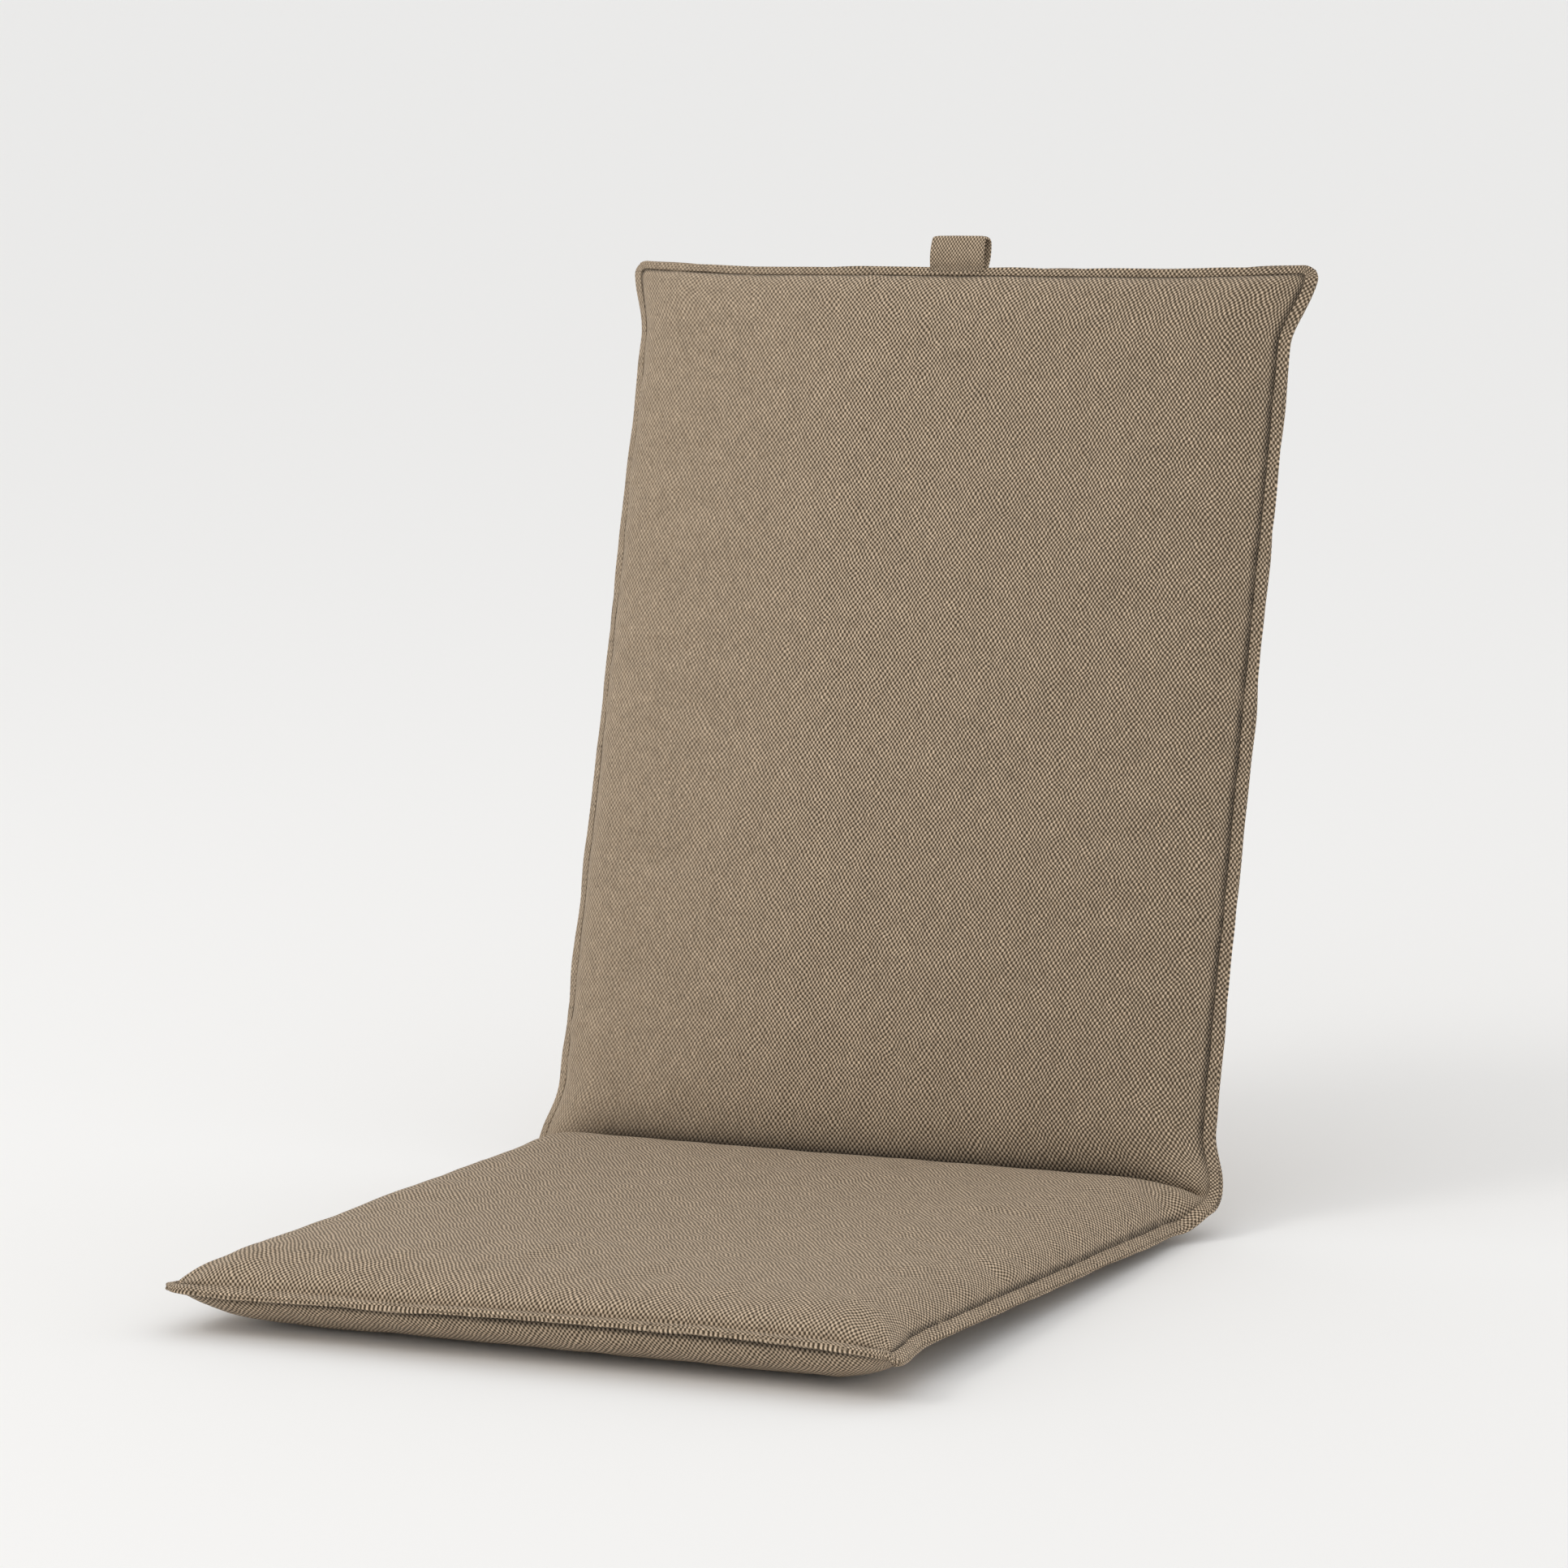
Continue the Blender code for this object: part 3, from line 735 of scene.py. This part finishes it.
def smooth_line(points, rounds=3):
    """Cut the corners of a line of points until it bends evenly."""
    line = np.array(points, float)
    for _ in range(rounds):
        cut = np.stack((0.75 * line[:-1] + 0.25 * line[1:], 0.25 * line[:-1] + 0.75 * line[1:]), axis=1)
        line = np.concatenate((line[:1], cut.reshape(-1, line.shape[1]), line[-1:]))
    return line


def strap_line():
    """The strap's folded line, the directions square to it, and how far along it each of its stops lies."""
    line = smooth_line(STRAP_LINE + tuple((-depth, up) for depth, up in reversed(STRAP_LINE[:-1])))
    lengths = np.concatenate(([0], np.cumsum(np.linalg.norm(np.diff(line, axis=0), axis=1))))
    stops = np.linspace(0, lengths[-1], STRAP_STOPS)
    line = np.stack([np.interp(stops, lengths, line[:, axis]) for axis in range(2)], axis=-1)
    way = one_long(np.gradient(line, axis=0))
    return line, np.stack((way[:, 1], -way[:, 0]), axis=-1), stops


def strap_ring():
    """The strap's cross-section with rounded edges: places across, half thicknesses and hems."""
    inner_half = STRAP_WIDTH / 2 - STRAP_HALF
    turns = np.radians(np.linspace(0, 180, ROLL_POINTS))[1:-1]
    flat, layer = np.linspace(-inner_half, inner_half, STRAP_COLUMNS), np.full(STRAP_COLUMNS, STRAP_HALF)
    edge_x, edge_t = inner_half + STRAP_HALF * np.sin(turns), STRAP_HALF * np.cos(turns)
    ring_x = np.concatenate((flat, edge_x, flat[::-1], -edge_x))
    ring_t = np.concatenate((layer, edge_t, -layer, -edge_t))
    hems = bell(np.abs(ring_x) - (STRAP_WIDTH / 2 - STRAP_HEM["inset"]), STRAP_HEM["spread"])
    return ring_x, ring_t * (1 - STRAP_HEM["thinner"] * hems), hems


def strap_points(line, square, stops, ring_x, ring_t):
    """The strap sewn into the top seam, a little waved and skewed, with rounded top corners."""
    y, z, turn = bend_up(np.array(COVER_LENGTH - DRAWN_IN["top"]["reach"]))
    towards_front = np.array((0.0, -math.sin(turn), math.cos(turn)))
    up_the_back = np.array((0.0, math.cos(turn), math.sin(turn)))
    foot = np.array((0.0, y - ORIGIN_Y, SEAM_Z["fold"] + z))
    ring_x, places, height = ring_x[None, :], stops[:, None], line[:, 1, None]
    wave = uneven(ring_x, places, STRAP_WAVE["size"], SEED["loop"]) * soft_rise(height, STRAP_WAVE["start"])
    depth = line[:, 0, None] + square[:, 0, None] * ring_t[None, :] + STRAP_WAVE["reach"] * wave
    near_top = soft_rise(height - STRAP_TOP["start"], STRAP_TOP["spread"])
    edge = share_of((np.abs(ring_x) - (STRAP_WIDTH / 2 - STRAP_TOP["corner"])) / STRAP_TOP["corner"])
    up = height + square[:, 1, None] * ring_t[None, :]
    up = up - STRAP_TOP["drop"] * near_top * (1 - np.sqrt(1 - edge ** 2 * 0.999))
    points = foot + depth[..., None] * towards_front + up[..., None] * up_the_back
    narrowed = ring_x * (1 - STRAP_TOP["narrower"] * near_top)
    points[..., 0] = STRAP_X + narrowed + STRAP_SKEW * places / stops[-1]
    return points


def strap_mesh(points):
    """One closed mesh of the strap's rings, with its two sewn ends closed."""
    rows, around = points.shape[:2]
    numbers = np.arange(rows * around).reshape(rows, around)
    after = np.roll(numbers, -1, axis=1)
    faces = np.stack((numbers[:-1], numbers[1:], after[1:], after[:-1]), axis=-1).reshape(-1, 4).tolist()
    faces += [numbers[0].tolist(), numbers[-1, ::-1].tolist()]
    mesh = bpy.data.meshes.new("loop")
    mesh.from_pydata(points.reshape(-1, 3).tolist(), [], faces)
    shape = bmesh.new()
    shape.from_mesh(mesh)
    bmesh.ops.recalc_face_normals(shape, faces=shape.faces[:])
    shape.to_mesh(mesh)
    shape.free()
    mesh.shade_smooth()
    return mesh


def make_hang_loop(material):
    """A flat strap folded over, with soft rounded edges and a slight wave in each layer."""
    line, square, stops = strap_line()
    ring_x, ring_t, hems = strap_ring()
    mesh = strap_mesh(strap_points(line, square, stops, ring_x, ring_t))
    places = stops[:, None]
    add_values(mesh, "cloth", stacked(ring_x[None, :], places, 5 + places))
    from_foot = np.minimum(places, stops[-1] - places) - STRAP_FOOT_SHADE["start"]
    foot_shade = STRAP_FOOT_SHADE["share"] * (1 - soft_rise(from_foot, STRAP_FOOT_SHADE["spread"]))
    add_values(mesh, "seams", stacked(STRAP_HEM["shade"] * hems[None, :], 0.0, foot_shade))
    loop = link("loop", mesh)
    loop.data.materials.append(material)
    return loop, float(stops[-1])


def new_group(name, inputs, outputs):
    """A shader node group with its inputs' values, where None stands for a vector, and its outputs."""
    group = bpy.data.node_groups.new(name, "ShaderNodeTree")
    for label, value in inputs.items():
        kind = "NodeSocketVector" if value is None else "NodeSocketFloat"
        socket = group.interface.new_socket(label, in_out="INPUT", socket_type=kind)
        if value is not None:
            socket.default_value = value
    for label in outputs:
        group.interface.new_socket(label, in_out="OUTPUT", socket_type="NodeSocketFloat")
    return group, group.nodes.new("NodeGroupInput").outputs, group.nodes.new("NodeGroupOutput").inputs


def feed(tree, socket, value):
    """Link a socket to another, or set it to a plain value."""
    if isinstance(value, bpy.types.NodeSocket):
        tree.links.new(value, socket)
    else:
        socket.default_value = value


def maths(tree, operation, *values):
    node = tree.nodes.new("ShaderNodeMath")
    node.operation = operation
    for socket, value in zip(node.inputs, values):
        feed(tree, socket, value)
    return node.outputs[0]


def times(tree, *values):
    return reduce(partial(maths, tree, "MULTIPLY"), values)


def plus(tree, *values):
    return reduce(partial(maths, tree, "ADD"), values)


def minus(tree, *values):
    return reduce(partial(maths, tree, "SUBTRACT"), values)


def vectors(tree, operation, first, second):
    node = tree.nodes.new("ShaderNodeVectorMath")
    node.operation = operation
    feed(tree, node.inputs[0], first)
    feed(tree, node.inputs[1], second)
    return node.outputs[0]


def noise(tree, place, scale, detail=1.0, roughness=0.5):
    node = tree.nodes.new("ShaderNodeTexNoise")
    feed(tree, node.inputs["Vector"], place)
    node.inputs["Scale"].default_value = scale
    node.inputs["Detail"].default_value = detail
    node.inputs["Roughness"].default_value = roughness
    return node.outputs["Fac"]


def map_range(tree, value, low, high, to_low=0.0, to_high=1.0, smooth=False):
    node = tree.nodes.new("ShaderNodeMapRange")
    if smooth:
        node.interpolation_type = "SMOOTHSTEP"
    parts = {"Value": value, "From Min": low, "From Max": high, "To Min": to_low, "To Max": to_high}
    for label, part in parts.items():
        feed(tree, node.inputs[label], part)
    return node.outputs["Result"]


def mix_colours(tree, share, first, second):
    node = tree.nodes.new("ShaderNodeMix")
    node.data_type = "RGBA"
    for socket, value in ((node.inputs[0], share), (node.inputs[6], first), (node.inputs[7], second)):
        feed(tree, socket, value)
    return node.outputs[2]


def separate(tree, vector):
    node = tree.nodes.new("ShaderNodeSeparateXYZ")
    feed(tree, node.inputs[0], vector)
    return node.outputs


def combine(tree, x, y, z=0.0):
    node = tree.nodes.new("ShaderNodeCombineXYZ")
    for socket, value in zip(node.inputs, (x, y, z)):
        feed(tree, socket, value)
    return node.outputs[0]


def plain_weave():
    """Warp yarns along the cushion over and under weft yarns across it."""
    tree, given, result = new_group(
        "Plain weave",
        {"Cloth Place": None, "Warp Pitch": YARN_PITCH[0], "Weft Pitch": YARN_PITCH[1],
         "Straying": 0.5, "Openness": 0.0},
        ("Warp On Top", "Height", "Yarn Shade"),
    )
    place, length = given["Cloth Place"], WEAVE["length"]
    pitch = combine(tree, given["Warp Pitch"], given["Weft Pitch"], 1.0)
    counted = separate(tree, vectors(tree, "DIVIDE", place, pitch))
    moved = vectors(tree, "ADD", place, (3.7, 1.9, 0.6))
    amount = times(tree, given["Straying"], WEAVE["stray"])
    warp, weft = [
        plus(tree, count, times(tree, minus(tree, noise(tree, where, WEAVE["scale"], 1.0), 0.5), amount))
        for count, where in zip(counted, (place, moved))
    ]
    waves = [maths(tree, "COSINE", times(tree, yarn, math.pi)) for yarn in (warp, weft)]
    over = times(tree, *waves)
    # Painted light from the side: below 0 more of the light warp lies on top, above 0 more of the dark
    closed = minus(tree, over, given["Openness"])
    on_top = map_range(tree, closed, WEAVE["under"], WEAVE["over"], smooth=True)
    crossing = maths(tree, "POWER", maths(tree, "ABSOLUTE", over), WEAVE["bend"])
    height = plus(tree, times(tree, on_top, WEAVE["top"]), times(tree, crossing, 1 - WEAVE["top"]))
    warp_number = times(tree, maths(tree, "ROUND", warp), 7.31)
    weft_number = times(tree, maths(tree, "ROUND", weft), 5.17)
    warp_shade = noise(tree, combine(tree, warp_number, times(tree, weft, length)), 1.0, 2.0)
    weft_shade = noise(tree, combine(tree, times(tree, warp, length), weft_number, 4.0), 1.0, 2.0)
    shade = plus(tree, times(tree, warp_shade, on_top),
                 times(tree, weft_shade, minus(tree, 1.0, on_top)))
    feed(tree, result["Warp On Top"], on_top)
    feed(tree, result["Height"], height)
    feed(tree, result["Yarn Shade"], shade)
    return tree


def melange_mottle():
    """Clouds and short slubs of lighter and darker yarn over the whole cloth."""
    tree, given, result = new_group(
        "Melange mottle", {"Cloth Place": None, "Amount": 1.0}, ("Shade", "Warmth"),
    )
    place = given["Cloth Place"]
    clouds = noise(tree, place, 26.0, 3.0, 0.6)
    patches = noise(tree, vectors(tree, "ADD", place, (5.1, 2.2, 1.0)), 120.0, 2.0, 0.6)
    slubs = noise(tree, vectors(tree, "MULTIPLY", place, (90.0, 620.0, 1.0)), 1.0, 2.0, 0.55)
    total = plus(tree, times(tree, clouds, MOTTLE["clouds"]), times(tree, patches, MOTTLE["patches"]),
                 times(tree, slubs, MOTTLE["slubs"]))
    spread = times(tree, minus(tree, total, 0.5), given["Amount"])
    feed(tree, result["Shade"], plus(tree, spread, 1.0))
    warmth = noise(tree, vectors(tree, "MULTIPLY", place, (420.0, 160.0, 1.0)), 1.0, 1.0)
    feed(tree, result["Warmth"], map_range(tree, warmth, 0.52, 0.75, 0.0, 1.0))
    return tree


def seam_shading():
    """Shadow and stitches held in the grooves and the fold, ticks on the flange and paler worn rims."""
    tree, given, result = new_group(
        "Seam shading",
        {"Seams": None, "Cloth Place": None, "Seam Distance": 0.0, "Stitch Length": STITCH_LENGTH,
         "Groove Depth": 0.5, "Rim Wear": RIM_WEAR, "Crease Depth": 0.5},
        ("Shade", "Stitch Height"),
    )
    groove, flange, crease = separate(tree, given["Seams"])
    place, distance = given["Cloth Place"], given["Seam Distance"]
    # Painted shade in the groove, darker at the needle holes between the stitches and broken up unevenly
    turns = times(tree, maths(tree, "DIVIDE", distance, given["Stitch Length"]), math.pi)
    thread = maths(tree, "ABSOLUTE", maths(tree, "SINE", turns))
    sunk = minus(tree, 1.0, times(tree, thread, STITCHES["sunk"]))
    broken = map_range(tree, noise(tree, place, 95.0, 2.0), 0.30, 0.62, 0.65, 1.0)
    painted_groove_shade = times(tree, groove, broken, sunk, given["Groove Depth"])

    along_seam = combine(tree, times(tree, distance, 430.0), times(tree, flange, 0.6))
    on_flange = map_range(tree, flange, 0.02, 0.15)
    rows = maths(tree, "SINE", times(tree, flange, FLANGE_ROWS * 2 * math.pi))
    rows = times(tree, rows, on_flange)
    ticks = times(tree, map_range(tree, noise(tree, along_seam, 1.0, 1.0), 0.56, 0.74), on_flange)
    worn = map_range(tree, noise(tree, place, 160.0, 2.0), 0.40, 0.65)
    at_rim = maths(tree, "POWER", flange, 3.0)
    rim = times(tree, at_rim, worn, given["Rim Wear"])
    # Painted shade in the fold's crease, under the front flange and at the strap's feet
    painted_crease_shade = times(tree, crease, given["Crease Depth"])

    shade = minus(tree, 1.0, painted_groove_shade, times(tree, ticks, STITCHES["tick"]))
    shade = plus(tree, shade, times(tree, rows, STITCHES["rows"]), rim)
    feed(tree, result["Shade"], times(tree, shade, minus(tree, 1.0, painted_crease_shade)))
    raised = times(tree, groove, thread, STITCHES["raised"])
    feed(tree, result["Stitch Height"], minus(tree, raised, times(tree, ticks, STITCHES["tick_raised"])))
    return tree


def yarn_fuzz():
    """Fine loose fibres over the yarns."""
    tree, given, result = new_group("Yarn fuzz", {"Cloth Place": None, "Fineness": 1.0}, ("Height",))
    stretched = vectors(tree, "MULTIPLY", given["Cloth Place"], (2600.0, 1500.0, 1.0))
    fineness = combine(tree, given["Fineness"], given["Fineness"], 1.0)
    fibres = vectors(tree, "MULTIPLY", stretched, fineness)
    feed(tree, result["Height"], noise(tree, fibres, 1.0, 2.0, 0.6))
    return tree


def group_node(tree, group, **values):
    node = tree.nodes.new("ShaderNodeGroup")
    node.node_tree = group
    for label, value in values.items():
        feed(tree, node.inputs[label.replace("_", " ").title()], value)
    return node.outputs


def cloth_values(tree, name):
    """Read the values that a mesh keeps under a name."""
    node = tree.nodes.new("ShaderNodeAttribute")
    node.attribute_name = name
    return node.outputs["Vector"]


def new_material(name):
    material = bpy.data.materials.new(name)
    material.use_nodes = True
    return material, material.node_tree, material.node_tree.nodes["Principled BSDF"]


def woven_cloth(name, groups, finish_and_shade):
    """The beige and taupe cloth, with its finish and its painted shade for one of the cushion's pieces."""
    material, tree, shader = new_material(name)
    across, along, distance = separate(tree, cloth_values(tree, "cloth"))
    place = combine(tree, across, along)

    # Painted light on the back: its weave lighter towards the left and darker towards the right
    reach = SIDE_LIGHT_PAINT["reach"]
    side_lit = map_range(tree, across, -reach, reach, SIDE_LIGHT_PAINT["left"], SIDE_LIGHT_PAINT["right"])
    on_back = map_range(tree, along, *BACK_WEAVE, 0.0, finish_and_shade["openness"], smooth=True)
    weave = group_node(tree, groups["weave"], cloth_place=place, warp_pitch=finish_and_shade["pitch"][0],
                       weft_pitch=finish_and_shade["pitch"][1], straying=finish_and_shade["straying"],
                       openness=times(tree, side_lit, on_back))
    melange = group_node(tree, groups["mottle"], cloth_place=place, amount=finish_and_shade["mottle"])
    seam = group_node(tree, groups["seam"], seams=cloth_values(tree, "seams"), cloth_place=place,
                      seam_distance=distance, stitch_length=STITCH_LENGTH, groove_depth=finish_and_shade["groove"],
                      rim_wear=RIM_WEAR, crease_depth=finish_and_shade["crease"])
    fuzz = group_node(tree, groups["fuzz"], cloth_place=place, fineness=1.0)

    warp_colour = mix_colours(tree, times(tree, melange["Warmth"], WARM_SHARE), LIGHT_YARN, WARM_YARN)
    # Painted light on the back: the weave's contrast evened out towards the lit left edge
    edge_lit = map_range(tree, across, EDGE_LIGHT_PAINT["edge"], EDGE_LIGHT_PAINT["end"], EDGE_LIGHT_PAINT["share"], 0.0)
    edge_lit = times(tree, edge_lit, on_back)
    on_top = map_range(tree, edge_lit, 0.0, 1.0, weave["Warp On Top"], EDGE_LIGHT_PAINT["even"])
    colour = mix_colours(tree, on_top, finish_and_shade["dark"], warp_colour)
    yarn = map_range(tree, weave["Yarn Shade"], 0.2, 0.8, *YARN_SHADES)
    shade = times(tree, yarn, melange["Shade"], seam["Shade"])
    shaded = vectors(tree, "MULTIPLY", colour, combine(tree, shade, shade, shade))
    feed(tree, shader.inputs["Base Color"], shaded)
    roughness = map_range(tree, weave["Height"], 0.0, 1.0, ROUGHNESS["hollows"], ROUGHNESS["yarns"])
    feed(tree, shader.inputs["Roughness"], roughness)
    height = plus(tree, weave["Height"], times(tree, fuzz["Height"], FUZZ_HEIGHT), seam["Stitch Height"])
    bump = tree.nodes.new("ShaderNodeBump")
    bump.inputs["Strength"].default_value = BUMP["strength"]
    bump.inputs["Distance"].default_value = BUMP["depth"]
    feed(tree, bump.inputs["Height"], height)
    feed(tree, shader.inputs["Normal"], bump.outputs["Normal"])
    shader.inputs["Specular IOR Level"].default_value = 0.25
    shader.inputs["Sheen Weight"].default_value = 0.12
    shader.inputs["Sheen Roughness"].default_value = 0.45
    shader.inputs["Sheen Tint"].default_value = (0.80, 0.72, 0.62, 1.0)
    return material


def make_floor():
    """A wide plain floor."""
    shape = bmesh.new()
    bmesh.ops.create_circle(shape, cap_ends=True, segments=96, radius=FLOOR_RADIUS)
    mesh = bpy.data.meshes.new("floor")
    shape.to_mesh(mesh)
    shape.free()
    floor = link("floor", mesh)
    material, _, shader = new_material("pale floor")
    shader.inputs["Base Color"].default_value = FLOOR_COLOUR
    shader.inputs["Roughness"].default_value = 0.9
    shader.inputs["Specular IOR Level"].default_value = 0.1
    mesh.materials.append(material)


def add_lamp(name, place, target, size, watts, colour):
    lamp = bpy.data.lights.new(name, "AREA")
    lamp.shape = "DISK"
    lamp.size = size
    lamp.energy = watts
    lamp.color = colour
    holder = link(name, lamp)
    holder.location = place
    holder.rotation_euler = (Vector(target) - Vector(place)).to_track_quat("-Z", "Y").to_euler()


def light_studio():
    """Even studio light, a little stronger from the upper left."""
    world = bpy.data.worlds.new("studio")
    world.use_nodes = True
    background = world.node_tree.nodes["Background"]
    background.inputs["Color"].default_value = (0.985, 0.985, 0.985, 1.0)
    background.inputs["Strength"].default_value = 0.93
    bpy.context.scene.world = world
    add_lamp("key", (-2.3, -2.3, 3.3), (0, 0.1, 0.2), 1.8, 30, (1.0, 0.975, 0.94))
    bpy.context.scene.view_settings.view_transform = "Standard"


def aim_camera():
    """Look at the cushion from the front, a little from its right and from above."""
    azimuth, elevation = math.radians(CAMERA["azimuth"]), math.radians(CAMERA["elevation"])
    level = math.cos(elevation)
    back = Vector((math.sin(azimuth) * level, -math.cos(azimuth) * level, math.sin(elevation)))
    right = Vector((math.cos(azimuth), math.sin(azimuth), 0.0))
    axes = Matrix((right, back.cross(right), back)).transposed()
    turned = axes @ Matrix.Rotation(math.radians(CAMERA["roll"]), 3, "Z")
    camera = bpy.data.cameras.new("camera")
    camera.lens = CAMERA["lens"]
    camera.clip_end = 500.0
    holder = link("camera", camera)
    place = Vector(CAMERA["target"]) + back * CAMERA["distance"]
    holder.matrix_world = Matrix.Translation(place) @ turned.to_4x4()
    bpy.context.scene.camera = holder


def main():
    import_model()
    groups = {
        "weave": plain_weave(), "mottle": melange_mottle(), "seam": seam_shading(), "fuzz": yarn_fuzz(),
    }
    cover = make_cover(woven_cloth("cover cloth", groups, COVER_FINISH_AND_SHADE))
    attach(cover, "root")
    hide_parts("cushion")
    loop, strap_length = make_hang_loop(woven_cloth("strap cloth", groups, STRAP_FINISH_AND_SHADE))
    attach(loop, "root")
    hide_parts("hang_loop")
    make_floor()
    light_studio()
    aim_camera()


main()
